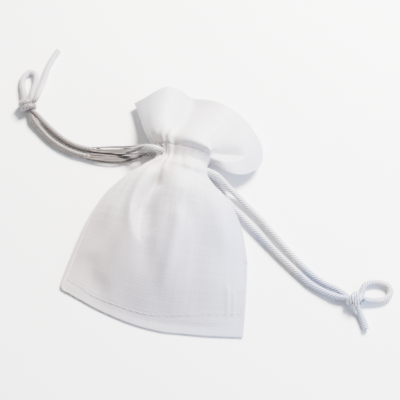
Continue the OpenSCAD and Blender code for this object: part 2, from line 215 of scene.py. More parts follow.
def trace(route, shares):
    """Points at the given shares of the length of a smooth curve through the route's points."""
    p = np.array(route, float)
    p = np.vstack([2 * p[0] - p[1], p, 2 * p[-1] - p[-2]])
    fine = []
    for k in range(1, len(p) - 2):
        for t in np.linspace(0, 1, 24, endpoint=False):
            fine.append(0.5 * (
                2 * p[k] + (p[k + 1] - p[k - 1]) * t
                + (2 * p[k - 1] - 5 * p[k] + 4 * p[k + 1] - p[k + 2]) * t ** 2
                + (3 * p[k] - p[k - 1] - 3 * p[k + 1] + p[k + 2]) * t ** 3))
    fine.append(p[-2])
    fine = np.array(fine)
    run = np.concatenate([[0], np.cumsum(np.linalg.norm(np.diff(fine, axis=0), axis=1))])
    at = np.array(shares) * run[-1]
    return np.stack([np.interp(at, run, fine[:, i]) for i in range(fine.shape[1])], axis=1)


def length_of(line):
    """Length of a line of points."""
    return float(np.linalg.norm(np.diff(np.array(line), axis=0), axis=1).sum())


# Each slack strand: how far it bows sideways and up, where it starts, its radius, and its place in
# the lay (0 is on a strand's crest, 0.1 in the groove)
LOOSE_STRANDS = (
    (1.7 * MM, 0.3 * MM, 2 * MM, 0.32 * MM, 0.1), (1.1 * MM, 0.8 * MM, 6 * MM, 0.30 * MM, 0.0),
    (-1.0 * MM, 0.8 * MM, 4 * MM, 0.30 * MM, 0.02), (-1.5 * MM, 0.2 * MM, 1 * MM, 0.34 * MM, 0.1))


def cord_mesh(name, line, loose=None, squeeze=None, sides=RING_SIDES, width=CORD):
    """A laid cord along a line: its strands wind round it, or lie slack and apart between the two
    distances in loose. squeeze is (middle, half length, share): a knot's grip on the cord."""
    line = np.array(line)
    n = len(line)
    run = np.concatenate([[0], np.cumsum(np.linalg.norm(np.diff(line, axis=0), axis=1))])
    ahead = np.gradient(line, axis=0)
    ahead /= np.linalg.norm(ahead, axis=1)[:, None]
    side = np.cross(ahead[0], (0, 0, 1.0))
    side /= np.linalg.norm(side)
    slack = np.zeros(n)
    if loose:
        rise = np.clip((run - loose[0]) / (4 * MM), 0, 1) * np.clip((loose[1] - run) / (9 * MM), 0, 1)
        slack = rise * rise * (3 - 2 * rise)
    turn = np.concatenate([[0], np.cumsum(np.diff(run) * (1 - 0.97 * slack[1:]) / CORD_PITCH)]) * 2 * math.pi
    points, uvs, sides_at, ups_at = [], [], [], []
    for k in range(n):
        if k:
            side = side - ahead[k] * (side @ ahead[k])
            side /= np.linalg.norm(side)
        up = np.cross(side, ahead[k])
        sides_at.append(side)
        ups_at.append(up)
        grip = 1.0
        if squeeze:
            grip = 1 - (1 - squeeze[2]) * math.exp(-((run[k] - squeeze[0]) / squeeze[1]) ** 4)
        for a in range(sides):
            angle = 2 * math.pi * a / sides
            lobe = abs(math.cos(CORD_STRANDS / 2 * (angle - turn[k])))
            depth = 0.22 + 0.22 * slack[k]
            radius = width / 2 * grip * (1 - depth + depth * lobe) * (1 - 0.28 * slack[k])
            points.append(line[k] + radius * (math.cos(angle) * side + math.sin(angle) * up))
            uvs.append((run[k] / MM, (angle - turn[k]) / (2 * math.pi)))
    faces = [
        (k * sides + a, k * sides + (a + 1) % sides, (k + 1) * sides + (a + 1) % sides, (k + 1) * sides + a)
        for k in range(n - 1) for a in range(sides)]
    # The cut ends are drawn in a little, where the strands were sealed
    for ring, first in ((0, True), (n - 1, False)):
        centre = len(points)
        points.append(line[ring] + ahead[ring] * (0.25 * width if first else -0.25 * width))
        uvs.append((run[ring] / MM, 0.5))
        for a in range(sides):
            pair = (ring * sides + a, ring * sides + (a + 1) % sides)
            faces.append((pair[1], pair[0], centre) if first else (pair[0], pair[1], centre))
    # Where the cord is slack, single strands bow out of it and leave gaps between them
    for bow, rise, lag, thick, groove_place in LOOSE_STRANDS if loose else ():
        span = np.flatnonzero((run > loose[0] + lag) & (run < loose[1] + 0.3 * lag))[::3]
        first = len(points)
        for step, k in enumerate(span):
            u = step / (len(span) - 1)
            out_by = math.sin(math.pi * u) ** 0.7
            middle = line[k] + sides_at[k] * bow * out_by + ups_at[k] * rise * out_by
            middle[2] = max(middle[2], thick + 0.05 * MM)
            for a in range(LOOSE_SIDES):
                angle = 2 * math.pi * a / LOOSE_SIDES
                points.append(middle + thick * (math.cos(angle) * sides_at[k] + math.sin(angle) * ups_at[k]))
                uvs.append((run[k] / MM, groove_place))
        for k in range(len(span) - 1):
            ring = first + k * LOOSE_SIDES
            for a in range(LOOSE_SIDES):
                after = (a + 1) % LOOSE_SIDES
                faces.append((ring + a, ring + after, ring + LOOSE_SIDES + after, ring + LOOSE_SIDES + a))
    mesh = bpy.data.meshes.new(name)
    mesh.from_pydata([tuple(p) for p in points], [], faces)
    layer = mesh.uv_layers.new(name="along_cord")
    for loop in mesh.loops:
        layer.data[loop.index].uv = uvs[loop.vertex_index]
    mesh.polygons.foreach_set("use_smooth", [True] * len(mesh.polygons))
    mesh.materials.append(satin)
    cord = bpy.data.objects.new(name, mesh)
    bpy.context.collection.objects.link(cord)
    return cord


def knot_turns(middle, ahead):
    """Points of a cord that wraps round another one at a knot."""
    ahead = np.array(ahead, float) / np.linalg.norm(ahead)
    side = np.cross(ahead, (0, 0, 1.0))
    side /= np.linalg.norm(side)
    up = np.cross(side, ahead)
    wrap = [
        np.array(middle) + ahead * KNOT_LENGTH * (t - 0.5)
        + KNOT_RADIUS * (math.cos(KNOT_START + KNOT_TURNS * 2 * math.pi * t) * side
                         + math.sin(KNOT_START + KNOT_TURNS * 2 * math.pi * t) * up)
        for t in np.linspace(0, 1, 15)]
    # Under the knot the cord is pressed flat against the table
    for point in wrap:
        point[2] = max(point[2], 0.56 * CORD)
    return wrap


def in_mm(points):
    """Points given in millimetres, in metres."""
    return [np.array(p, float) * MM for p in points]


neck_low, neck_high = (np.array(c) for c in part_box("front_casing"))
neck = (neck_low + neck_high) / 2
neck[2] = neck_low[2]
leads = {side: [np.array(c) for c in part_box(side + "_cord_leads")] for side in ("left", "right")}

# Each route repeats the cord's own points, from the neck to the knot, then on to its end
routes = {
    "left_front": [
        (-20, 28.5, 9), (-23, 27.9, 6.1), (-27, 27.2, 3.1), (-31.5, 26.4, 1.7), (-36, 25.4, 1.3),
        (-41, 24.6, 1.3), (-46, 24.6, 1.3), (-51, 25.7, 1.3), (-56, 27.8, 1.4), (-60.5, 30.2, 1.8),
        (-64.5, 32.6, 2.5), (-67.5, 34.4, 3.2)],
    "left_back": [
        (-20.5, 27.9, 1.5), (-24.5, 25.8, 1.3), (-29, 23.7, 1.3), (-35, 22.4, 1.3), (-41, 21.6, 1.3),
        (-46.5, 21.7, 1.3), (-52, 22.8, 1.3), (-57, 24.8, 1.3), (-61.5, 27.6, 1.5), (-65.5, 30.8, 2),
        (-68, 33.4, 2.9)],
    "right_front": [
        (10, 24.9, 9.2), (13, 24, 6.4), (16, 22.8, 3.9), (20, 20.9, 2), (24.5, 18.3, 1.3),
        (29.5, 15.3, 1.3), (35, 11.5, 1.3), (41, 7.2, 1.3), (47, 3.2, 1.3), (53, -0.4, 1.3),
        (59, -2.8, 1.5), (64.5, -4.1, 2.1), (69, -5.2, 3)],
    "right_back": [
        (10, 23.9, 1.5), (13.5, 20.9, 1.3), (18, 17.2, 1.3), (24, 13.4, 1.3), (30, 9.6, 1.3),
        (36, 5.9, 1.3), (42, 2.3, 1.3), (48, -1.1, 1.3), (54, -4.2, 1.3), (60, -5.9, 1.5),
        (65, -6.5, 2.1), (69, -6.4, 3)],
    "left_loop": [
        (-72.6, 40.6, 1.6), (-74.1, 43.6, 1.3), (-74.6, 46.8, 1.3), (-73.2, 49.4, 1.3),
        (-70.9, 49.4, 1.3), (-69.5, 46.8, 1.3), (-69.2, 43.4, 1.3), (-69.2, 40.6, 1.6), (-68.5, 37.7, 2.6)],
    "left_tail": [
        (-66.6, 37.6, 4.2), (-66.5, 40.6, 3.2), (-66.6, 44, 2), (-66.6, 47.6, 1.3), (-66.7, 51.2, 1.3),
        (-66.5, 54.8, 1.3), (-65.9, 58.4, 1.3), (-65, 61.6, 1.3)],
    "right_loop": [
        (73.2, -0.4, 1.6), (75.2, 1.8, 1.3), (78.2, 2.9, 1.3), (81.4, 2.8, 1.3),
        (83.2, 0.8, 1.3), (82.6, -1.9, 1.3), (80, -3.7, 1.3), (76.8, -4.6, 1.6), (74, -5, 2.6)],
    "right_tail": [
        (72.6, -8.4, 2.6), (74, -10, 1.6), (75.4, -11.8, 1.3), (76.6, -13.6, 1.3), (77.6, -15.4, 1.3)],
}
knots = {"left": np.array((-69, 35.2, 2.9)) * MM, "right": np.array((71.2, -6, 2.9)) * MM}

for side, out, layout in (
    ("left", -1.0, (("front", "tail"), ("back", "loop"))),
    ("right", 1.0, (("front", "loop"), ("back", "tail"))),
):
    low, high = leads[side]
    mouth_x = low[0] if out < 0 else high[0]
    cord_y = (low[1] + high[1]) / 2
    middle = knots[side]
    for strand, end in layout:
        z = high[2] - CORD / 2 if strand == "front" else low[2] + CORD / 2
        start = [np.array((mouth_x - out * back, cord_y, z)) for back in (LEAD_IN, 5 * MM, 1.5 * MM, 0)]
        run_in = in_mm(routes[side + "_" + strand])
        run_out = in_mm(routes[side + "_" + end])
        ahead = middle - run_in[-3]
        if end == "loop":
            route = start + run_in[:-1] + knot_turns(middle, ahead) + run_out
        else:
            route = start + run_in[:-1] + [middle] + run_out
        rings = int(length_of(route) / RING_STEP)
        line = trace(route, np.linspace(0, 1, rings))
        distance = np.concatenate([[0], np.cumsum(np.linalg.norm(np.diff(line, axis=0), axis=1))])
        at_knot = float(distance[np.argmin(np.linalg.norm(line - middle, axis=1))])
        loose = (LEAD_IN + 1 * MM, LEAD_IN + 30 * MM) if side == "left" else None
        piece = cord_mesh(
            side + "_drawstring_to_" + end, line, loose=loose,
            squeeze=(at_knot, KNOT_GRIP, 0.95 if end == "loop" else 0.80))
        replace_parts(piece, *(
            (side + "_" + strand + "_strand", side + "_knot_loop", side + "_knot", side + "_cord_leads")
            if end == "loop" else (side + "_" + strand + "_strand", side + "_cord_tail")))
        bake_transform(piece)

for name in ("left_cord_in_casing", "right_cord_in_casing"):
    node = frame["nodes"][name]
    node.data.materials.clear()
    node.data.materials.append(satin)


# ---- The cloth of the bag ----
# Two leaves of sheer organza, about 0.1 mm thick, cut 70 mm wide. The drawstrings gather them
# at the neck, so both fall from it in folds, many short ones and a few that run far down.
CLOTH = 0.13 * MM
BAG_ROWS = 150
CASING_ROWS = 26
COLUMNS = 180
cut_width = 70.0
panel_cut = 54.0
casing_cut = 8.0

case_low_y = float(neck_low[1]) / MM
case_top_y = float(neck_high[1]) / MM + 0.6
neck_x = float(neck[0]) / MM
neck_z = float(neck_low[2]) / MM


def organza(name, near_white, shade, alpha, weave, warmest, reach):
    """Sheer, crisp cloth of fine filaments, with a soft shine and faint streaks along the warp. Its colour
    goes from the first to the second shade colour over the reach, away from where it is warmest: painted
    light, a warm painted tint on one part and a cool, bluish painted reflection on the other."""
    material, tree, output = new_material(name)
    uv = add(tree, "ShaderNodeUVMap", uv_map="cut_cloth")
    warp = add(tree, "ShaderNodeMapping", {"Vector": uv.outputs["UV"], "Scale": (1.3, 0.045, 1.0)})
    streaks = add(tree, "ShaderNodeTexNoise", {"Vector": warp.outputs["Vector"], "Scale": 1.0, "Detail": 5.0})
    weft = add(tree, "ShaderNodeMapping", {"Vector": uv.outputs["UV"], "Scale": (0.05, 1.5, 1.0)})
    slubs = add(tree, "ShaderNodeTexNoise", {"Vector": weft.outputs["Vector"], "Scale": 1.0, "Detail": 4.0})
    place = add(tree, "ShaderNodeTexCoord")
    across = add(tree, "ShaderNodeSeparateXYZ", {"Vector": place.outputs["Object"]})
    cloud = add(tree, "ShaderNodeTexNoise", {"Vector": place.outputs["Object"], "Scale": 26.0, "Detail": 2.0})
    # The warm and bluish tones set by position here are painted light and painted reflection
    aside = add(tree, "ShaderNodeMath", {0: across.outputs["X"], 1: warmest}, operation="SUBTRACT")
    away = add(tree, "ShaderNodeMath", {0: aside.outputs["Value"]}, operation="ABSOLUTE")
    cool = add(tree, "ShaderNodeMapRange", {
        "Value": away.outputs["Value"], "From Min": reach[0], "From Max": reach[1]})
    painted_light_tone = mix_colours(tree, cool.outputs["Result"], linear(shade[0]), linear(shade[1]))
    cloth_tone = mix_colours(tree, cloud.outputs["Fac"], painted_light_tone, linear(near_white))
    # The gathered cloth at the neck is many layers deep there and looks creamier; its lighter, creamier tone
    # is also painted light, brightening the neck where the ruffle shades it
    from_neck = add(tree, "ShaderNodeVectorMath", {
        0: place.outputs["Object"], 1: (-0.0115, 0.0265, 0.0080)}, operation="DISTANCE")
    deep = add(tree, "ShaderNodeMapRange", {
        "Value": from_neck.outputs["Value"], "From Min": 0.016, "From Max": 0.003, "To Max": 0.9})
    bunched_and_lit = add(tree, "ShaderNodeMapRange", {
        "Value": from_neck.outputs["Value"], "From Min": 0.036, "From Max": 0.010, "To Max": 0.85})
    cloth_tone = mix_colours(tree, bunched_and_lit.outputs["Result"], cloth_tone, linear("#ECEAEE"))
    cloth_tone = mix_colours(tree, deep.outputs["Result"], cloth_tone, linear("#F4E6D8"))
    threads = add(tree, "ShaderNodeMath", {
        0: streaks.outputs["Fac"], 1: slubs.outputs["Fac"]}, operation="ADD")
    clear = add(tree, "ShaderNodeMapRange", {
        "Value": threads.outputs["Value"], "From Min": 0.55, "From Max": 1.15})
    colour = mix_colours(tree, clear.outputs["Result"], linear(weave), cloth_tone)
    # Real threads are about 0.15 mm apart; they are drawn 0.38 mm apart so that they can be seen
    warp_wave = add(tree, "ShaderNodeTexWave", {
        "Vector": uv.outputs["UV"], "Scale": 0.42, "Distortion": 0.6, "Detail": 1.0}, bands_direction="X")
    weft_wave = add(tree, "ShaderNodeTexWave", {
        "Vector": uv.outputs["UV"], "Scale": 0.42, "Distortion": 0.6, "Detail": 1.0}, bands_direction="Y")
    weave_height = add(tree, "ShaderNodeMath", {
        0: warp_wave.outputs["Fac"], 1: weft_wave.outputs["Fac"]}, operation="MULTIPLY")
    bump = add(tree, "ShaderNodeBump", {
        "Height": weave_height.outputs["Value"], "Strength": 0.6, "Distance": 0.00005})
    surface = add(tree, "ShaderNodeBsdfPrincipled", {
        "Base Color": colour, "Roughness": 0.48, "Sheen Weight": 0.35, "Alpha": alpha,
        "Subsurface Weight": 0.4, "Subsurface Radius": (1.0, 1.0, 1.0), "Subsurface Scale": 0.0012,
        "Normal": bump.outputs["Normal"]})
    tree.links.new(surface.outputs["BSDF"], output.inputs["Surface"])
    return material


# The two shade colours of each cloth are painted light: warm light on one part and bluish reflected light on
# the other
sheer = organza("nylon_organza", "#CBC8CF", ("#D6BFB6", "#A3B4E8"), 0.86, "#B2AFB6", -0.030, (0, 0.056))
sheer_folded = organza(
    "nylon_organza_doubled", "#D2CFD5", ("#E0D8D2", "#A9B4E2"), 0.93, "#C4C1C8", 0.002, (0.003, 0.019))


def patch(left, right, low, high):
    """A grid of points that fills the space between four edges."""
    s = np.linspace(0, 1, len(left))[:, None, None]
    t = np.linspace(0, 1, len(low))[None, :, None]
    corners = (1 - s) * ((1 - t) * low[0] + t * low[-1]) + s * ((1 - t) * high[0] + t * high[-1])
    return (1 - t) * left[:, None] + t * right[:, None] + (1 - s) * low[None] + s * high[None] - corners


def hill(x):
    """A smooth bump, 1 in the middle and close to 0 two widths away."""
    return np.exp(-x * x)


def ease(x):
    """A smooth step from 0 to 1."""
    x = np.clip(x, 0, 1)
    return x * x * (3 - 2 * x)


def push_out(grid, amount, upward):
    """The grid moved out by an amount for each point: along its own normals, and straight out from
    the middle of the neck where it is gathered."""
    normal = np.cross(np.gradient(grid, axis=1), np.gradient(grid, axis=0))
    normal /= np.linalg.norm(normal, axis=2)[:, :, None] + 1e-12
    if (normal[:, :, 2].mean() > 0) != upward:
        normal = -normal
    outward = grid - np.array([neck_x, 0, neck_z])
    outward[:, :, 1] = 0
    outward /= np.linalg.norm(outward, axis=2)[:, :, None] + 1e-12
    near_neck = 1 - ease((np.abs(grid[:, :, 1] - 27.3) - 4.2) / 5.0)
    direction = normal * (1 - near_neck[:, :, None]) + outward * near_neck[:, :, None]
    direction /= np.linalg.norm(direction, axis=2)[:, :, None] + 1e-12
    return grid + direction * amount[:, :, None]


def lines_away(grid, route):
    """Distance of each point from a line in plan, its side (1 is left of the line) and its share."""
    line = trace(route, np.linspace(0, 1, 50))
    away = grid[:, :, None, :2] - line[None, None, :, :]
    distance = np.linalg.norm(away, axis=3)
    nearest = distance.argmin(axis=2)
    ahead = np.gradient(line, axis=0)[nearest]
    offset = np.take_along_axis(away, nearest[:, :, None, None], axis=2)[:, :, 0]
    side = np.sign(ahead[..., 0] * offset[..., 1] - ahead[..., 1] * offset[..., 0])
    return distance.min(axis=2), side, nearest / 49.0


# The right drawstring's back strand swings in under the bag's right edge, which stands clear of it
swing = next(j for j in frame["joints"] if j["name"] == "right_drawstring_swing")
pivot = np.array(swing["pos_m"][:2]) / MM
swept = []
for share in (0, 0.33, 0.67, 1):
    turned_by = math.radians(swing["range_deg"][0] * share)
    arm = np.array([p[:2] for p in routes["right_back"]]) - pivot
    swept.append(pivot + np.stack([
        arm[:, 0] * math.cos(turned_by) - arm[:, 1] * math.sin(turned_by),
        arm[:, 0] * math.sin(turned_by) + arm[:, 1] * math.cos(turned_by)], axis=1))


FRONT_OVER_STRAND = 3.4
BACK_OVER_STRAND = 3.05


def stood_clear(grid, height):
    """The grid with its points over the strand's sweep lifted to a height."""
    away = np.min([lines_away(grid, route)[0] for route in swept], axis=0)
    grid[:, :, 2] = np.maximum(grid[:, :, 2], height * ease((3.8 - away) / 1.8))
    return grid


# Each gather is a ridge: its place across the leaf, its slant, width and height, and how far it
# reaches below and above the neck
draw = random.Random(11)
GATHERS = 17
gathers = []
for k in range(GATHERS):
    place_t = -0.96 + 1.92 * (k + 0.5 + draw.uniform(-0.42, 0.42)) / GATHERS
    kind = draw.random()
    below = draw.uniform(3, 7) if kind < 0.45 else draw.uniform(9, 16) if kind < 0.8 else draw.uniform(20, 30)
    # The cloth is drawn up tightest on the front's left
    tight = 1.0 if place_t < -0.15 else 0.3
    gathers.append((
        place_t, draw.uniform(-0.014, 0.014), draw.uniform(0.030, 0.060) / tight ** 0.7,
        draw.uniform(0.7, 1.4) * tight, below, draw.uniform(4, 14)))


def gathered(t, beyond, above):
    """Height of all the gathers at t across the leaf and a distance beyond the middle of the neck."""
    total = np.zeros(np.broadcast(t, beyond).shape)
    for place_t, slant, width, rise, down, up in gathers:
        reach = up if above else down
        far = np.maximum(beyond - 3.5, 0)
        lean = slant * np.clip(beyond, -4, 8) * (1 if above else -1)
        total += rise * hill((t - place_t - lean) / (width * (1 + far / 22))) * np.exp(-(far / reach) ** 1.4)
    return total


# Slight unevenness of cloth that has been handled: waves in many directions, from 11 to 30 mm long
waves = [
    (draw.uniform(0, 2 * math.pi), 2 * math.pi / draw.uniform(11, 30), draw.uniform(0, 6),
     draw.uniform(0.02, 0.07))
    for k in range(12)]


def handled(grid):
    """Height of the slight waves at each point of a grid."""
    return sum(
        rise * np.sin((grid[:, :, 0] * math.cos(a) + grid[:, :, 1] * math.sin(a)) * n + start)
        for a, n, start, rise in waves)


def cloth_mesh(name, grid, flat, material, thickness=CLOTH, upward=True):
    """A sheet of cloth through a grid of points, in millimetres, with its cut size as its UV map."""
    rows, columns = grid.shape[:2]
    points = (grid * MM).reshape(-1, 3)
    corner = np.arange((rows - 1) * columns).reshape(rows - 1, columns)[:, :-1].ravel()
    faces = np.stack([corner, corner + 1, corner + columns + 1, corner + columns], axis=1)
    first = np.cross(points[faces[:, 1]] - points[faces[:, 0]], points[faces[:, 3]] - points[faces[:, 0]])
    if (first[:, 2].sum() > 0) != upward:
        faces = faces[:, ::-1]
    mesh = bpy.data.meshes.new(name)
    mesh.from_pydata(points.tolist(), [], faces.tolist())
    layer = mesh.uv_layers.new(name="cut_cloth")
    across = np.tile(np.linspace(0, flat[0], columns), rows)
    along = np.repeat(np.linspace(0, flat[1], rows), columns)
    which = np.empty(len(mesh.loops), dtype=np.int64)
    mesh.loops.foreach_get("vertex_index", which)
    layer.data.foreach_set("uv", np.stack([across[which], along[which]], axis=1).ravel())
    mesh.polygons.foreach_set("use_smooth", [True] * len(mesh.polygons))
    mesh.materials.append(material)
    sheet = bpy.data.objects.new(name, mesh)
    bpy.context.collection.objects.link(sheet)
    bpy.ops.object.select_all(action="DESELECT")
    sheet.select_set(True)
    bpy.context.view_layer.objects.active = sheet
    solid = sheet.modifiers.new("cloth_thickness", "SOLIDIFY")
    solid.thickness = thickness
    solid.offset = -1.0
    bpy.ops.object.modifier_apply(modifier=solid.name)
    return sheet


# The bag's outline, from its bottom corners up to the neck, in millimetres
left_side = [
    (-32.6, -31), (-34.3, -30.2), (-34.9, -28), (-34.3, -19), (-32.6, -5), (-29.4, 6.6), (-24.2, 15),
    (-18.2, 20.4), (-13.9, 23.4)]
right_side = [(35, -30), (32.7, -17), (29.3, -3), (23.9, 8.2), (16.3, 16.9), (9.0, 21.3), (3.9, 23.4)]
bottom_edge = [
    (-32.6, -31), (-26.5, -32.5), (-18.1, -34.4), (-5.9, -36), (5.2, -35.9), (12.5, -34.7), (22, -33),
    (35, -30)]


def pinch(y):
    """Half width and half depth of the neck at y: it is drawn in where the cords cross it."""
    flare = 1 - hill((y - 27.0) / 3.2)
    return 8.4 + 2.2 * flare, 5.4 + 2.4 * flare


def neck_row(y, t, front):
    """Points of one leaf across the gathered neck."""
    half_width, half_depth = pinch(y)
    x = neck_x + half_width * np.sin(t * math.pi / 2)
    z = neck_z + (1 if front else -1) * half_depth * np.cos(t * math.pi / 2)
    return np.stack([x, np.full_like(t, y), z], axis=1)


def neck_swell(t):
    """On the right the cloth swells out and runs from the bag into the ruffle with no waist between."""
    return 3.2 * hill((t - 0.5) / 0.45)


def bag_leaf(front):
    """One leaf of the bag, from the bottom edge up through the gathered casing."""
    s = np.linspace(0, 1, BAG_ROWS) ** 0.85
    t = np.linspace(-1, 1, COLUMNS)
    rise = np.clip(s, 0, 1) ** 1.3
    left = np.column_stack([trace(left_side, s), 0.7 + (neck_z - 0.7) * rise])
    right = np.column_stack([
        trace(right_side, s), 0.7 + (neck_z - 0.7) * rise + 2.5 * np.sin(math.pi * s ** 2.4) ** 2])
    low = np.column_stack([trace(bottom_edge, (t + 1) / 2), np.full(COLUMNS, 0.75 if front else 0.62)])
    high = neck_row(case_low_y, t, front)
    low[0], low[-1], high[0], high[-1] = left[0], right[0], left[-1], right[-1]
    body = patch(left, right, low, high)
    up = np.broadcast_to(s[:, None], body.shape[:2])
    tt = np.broadcast_to(t[None, :], body.shape[:2])
    across = np.clip(1 - tt ** 2, 0, 1)
    if front:
        body[:, :, 2] += 7.6 * np.sin(math.pi * np.clip((up - 0.05) / 0.95, 0, 1) ** 0.92) ** 1.1 * across
    else:
        sink = ease((1 - up) / 0.35) * across ** 0.5
        body[:, :, 2] = body[:, :, 2] * (1 - sink) + 0.35 * sink
    casing_t = np.linspace(0, 1, CASING_ROWS + 1)[1:]
    casing = np.stack([
        neck_row(case_low_y + (case_top_y - case_low_y) * c, t, front) for c in casing_t])
    grid = np.concatenate([body, casing])
    below = 27.0 - grid[:, :, 1] + 0.02 * np.abs(grid[:, :, 0] - neck_x) ** 1.5
    folds = gathered(t[None, :] * (1 if front else -1), below, False) + handled(grid)
    return grid, folds, t


grid, folds, t = bag_leaf(front=True)
# Broad folds: the hollow that curves down from the neck, and the puffed cloth on its right
hollow = [(-8.2, 21), (-12.6, 13.8), (-14.6, 5.3), (-11.6, -5), (-8, -9)]
distance, side, share = lines_away(grid, hollow)
open_end = ease(share / 0.2) * ease((1 - share) / 0.45)
inward = distance * side
folds -= 3.6 * open_end * np.where(inward > 0, hill(inward / 5.0), hill(inward / 1.0))
folds += 0.7 * hill((inward + 2.4) / 1.9) * open_end
folds += neck_swell(t[None, :]) * ease((grid[:, :, 1] - 20.5) / 4.5)
puff = ((grid[:, :, 0] + 0.6) / 7.8) ** 2 + ((grid[:, :, 1] - 17.0) / 7.0) ** 2
folds += 2.3 * np.exp(-puff ** 1.4)
for route, height, width in (
    ([(-12.5, 22.5), (-18.5, 15.5), (-23.5, 5), (-26, -8)], 1.0, 2.6),
    ([(-9.5, 21), (-16.5, 10), (-19, 0), (-20, -12)], -0.7, 3.0),
    ([(2, 22), (12, 13), (18, 3), (21, -8)], 0.9, 2.8),
    ([(-9, 13), (-10, 4), (-8, -6), (-5, -22)], -1.2, 3.4),
    ([(-0.5, 12), (1.5, 0), (2, -12), (1, -26)], 1.4, 2.6),
    ([(5, 12), (10, 0), (12, -12), (13, -22)], -0.9, 3.8),
    ([(24, -12), (26.5, -20), (28, -27)], 0.35, 0.9),
    ([(27, -14), (29, -21), (30.2, -27)], 0.3, 0.8),
    ([(-28, -14), (-24, -24), (-14, -30)], -0.6, 3.5),
):
    distance, side, share = lines_away(grid, route)
    folds += height * hill(distance / width) * ease(share / 0.25) * ease((1 - share) / 0.4)
edge = ease((1 - np.abs(t)) / 0.06)[None, :]
grid = push_out(grid, folds * edge * ease((np.arange(len(grid)) / 12))[:, None], upward=True)
grid = stood_clear(grid, FRONT_OVER_STRAND)
front_cloth = cloth_mesh("front_cloth", grid, (cut_width, panel_cut + casing_cut), sheer)
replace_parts(front_cloth, "front_panel", "front_casing")
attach(front_cloth, "bag")
front_grid = grid

grid, folds, t = bag_leaf(front=False)
edge = ease((1 - np.abs(t)) / 0.06)[None, :]
grid = push_out(grid, folds * edge * ease((np.arange(len(grid)) / 12))[:, None], upward=False)
grid[:, :, 2] = np.maximum(grid[:, :, 2], 0.16)
grid = stood_clear(grid, BACK_OVER_STRAND)
back_cloth = cloth_mesh("back_cloth", grid, (cut_width, panel_cut + casing_cut), sheer, upward=False)
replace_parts(back_cloth, "back_panel", "back_casing")
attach(back_cloth, "bag")
back_grid = grid


# ---- The ruffle ----
# The header of each leaf above the casing. The cloth is folded over double at the top and fans
# out from the gathers in broad petals, with soft valleys between them.
RUFFLE_ROWS = 70
header_cut = 22.5
turn_radius = 0.28
ruffle_low_y = case_top_y

ruffle_edges = {
    True: {
        "left": [
            (-14.0, 31.1, 6.2), (-16.4, 31.7, 6.4), (-19.2, 33.5, 6.4), (-22.2, 37.1, 5.6),
            (-24.8, 40.9, 4.6), (-27, 44.2, 3.8), (-29, 46.8, 3.4)],
        "top": [
            (-29, 46.8, 3.4), (-25.5, 48.6, 6.2), (-21.6, 51.2, 8.2), (-17.6, 54, 8.8), (-12.6, 54.8, 8),
            (-8, 54.7, 6.4), (-3, 54, 7.4), (2, 53.4, 8.6), (7, 52.4, 8.8), (12, 51, 8), (17, 48.2, 6.8),
            (21, 44.2, 5.8), (24, 39.8, 5), (25.1, 36.6, 4.6)],
        "right": [
            (4.0, 31.1, 6.2), (5.8, 30, 8.4), (8.8, 28.6, 10.2), (13, 27.5, 9.2), (17.2, 28, 7.2),
            (20.8, 29.9, 5.6), (23.8, 33, 4.8), (25.1, 36.6, 4.6)],
    },
    False: {
        "left": [
            (-14.0, 31.1, 5.9), (-16.4, 31.8, 5.6), (-19.1, 33.7, 4.8), (-22, 37.3, 3.6), (-24.6, 41.1, 2.6),
            (-26.8, 44.4, 2.2), (-28.6, 46.9, 2.2)],
        "top": [
            (-28.6, 46.9, 2.2), (-25, 49.6, 2.4), (-20.6, 53, 3), (-15.6, 55.6, 2), (-10, 56, 0.9),
            (-4, 55.4, 1.4), (2, 54.8, 2.4), (8, 53.6, 1.4), (14, 51.4, 0.8), (19, 48, 1.6),
            (23, 43, 2.2), (24.6, 37.6, 1.4)],
        "right": [
            (4.0, 31.1, 5.9), (7, 30, 5.2), (12, 29.8, 3.4), (17.6, 31.4, 2), (22, 34.2, 1.4),
            (24.6, 37.6, 1.4)],
    },
}


